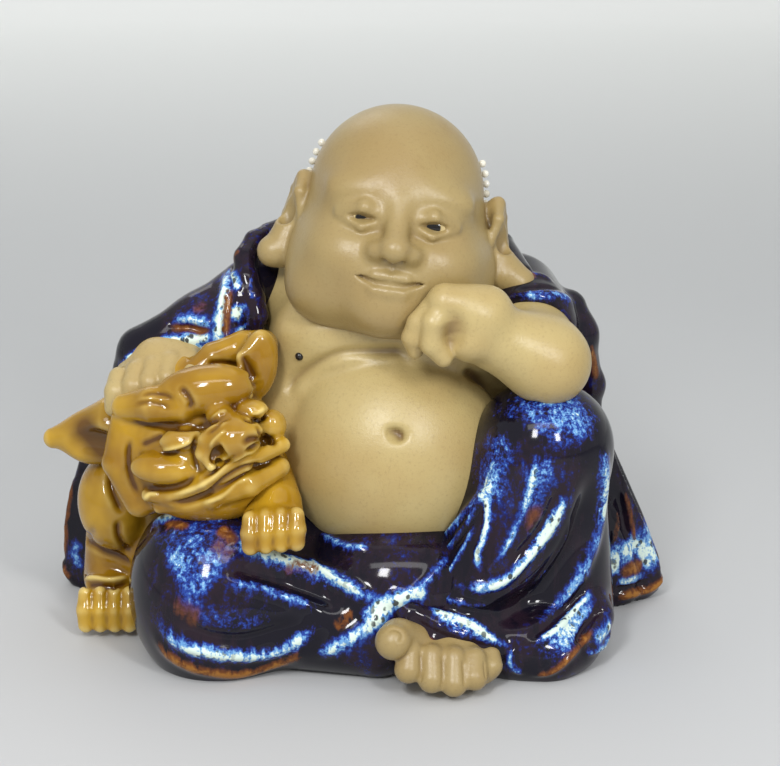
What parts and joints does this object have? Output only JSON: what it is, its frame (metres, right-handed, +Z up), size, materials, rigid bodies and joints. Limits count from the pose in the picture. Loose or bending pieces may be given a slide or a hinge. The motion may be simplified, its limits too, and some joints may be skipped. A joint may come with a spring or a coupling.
{
  "type": "seated monk figurine",
  "caption": "Seated bald monk with bare belly and glazed robe, cheek on one hand, the other hand on a crouching lion; a hollow ceramic shelf ornament.",
  "frame": {"origin": "middle of the bounding box, on the shelf the figure sits on", "axes": "+X to the viewer's right when looking at the figure's front, +Y to the figure's back, +Z up"},
  "size_m": [0.224, 0.1522, 0.189],
  "materials": {
    "bare_clay": "unglazed stoneware, smooth and dry, ochre grey",
    "blue_glaze": "thick glossy flambe glaze, near black to cobalt with pale runs",
    "amber_glaze": "glossy amber glaze, brown where it pools",
    "white_glaze": "glossy white glaze",
    "black_glaze": "glossy black glaze"
  },
  "bodies": {
    "root": {"torso": "bare_clay", "head": "bare_clay", "right_ear": "bare_clay", "left_ear": "bare_clay", "left_arm": "bare_clay", "left_hand": "bare_clay", "left_foot": "bare_clay", "right_hand": "bare_clay", "left_leg": "blue_glaze", "left_hem": "blue_glaze", "right_leg": "blue_glaze", "lap_cloth": "blue_glaze", "right_sleeve": "blue_glaze", "collar": "blue_glaze", "left_sleeve": "blue_glaze", "mantle": "blue_glaze", "lion_foreleg": "amber_glaze", "lion_paw": "amber_glaze", "lion_body": "amber_glaze", "lion_head": "amber_glaze", "lion_lips": "amber_glaze", "lion_jaw": "amber_glaze", "lion_nose": "amber_glaze", "lion_far_cheek": "amber_glaze", "lion_brow": "amber_glaze", "lion_left_ear": "amber_glaze", "lion_right_ear": "amber_glaze", "lion_left_paw": "amber_glaze", "right_eye": "white_glaze", "left_eye": "white_glaze", "hair_bead_right_1": "white_glaze", "hair_bead_right_2": "white_glaze", "hair_bead_right_3": "white_glaze", "hair_bead_right_4": "white_glaze", "hair_bead_right_5": "white_glaze", "hair_bead_left_1": "white_glaze", "hair_bead_left_2": "white_glaze", "hair_bead_left_3": "white_glaze", "hair_bead_left_4": "white_glaze", "hair_bead_left_5": "white_glaze", "breast_drop": "black_glaze"}
  },
  "joints": []
}
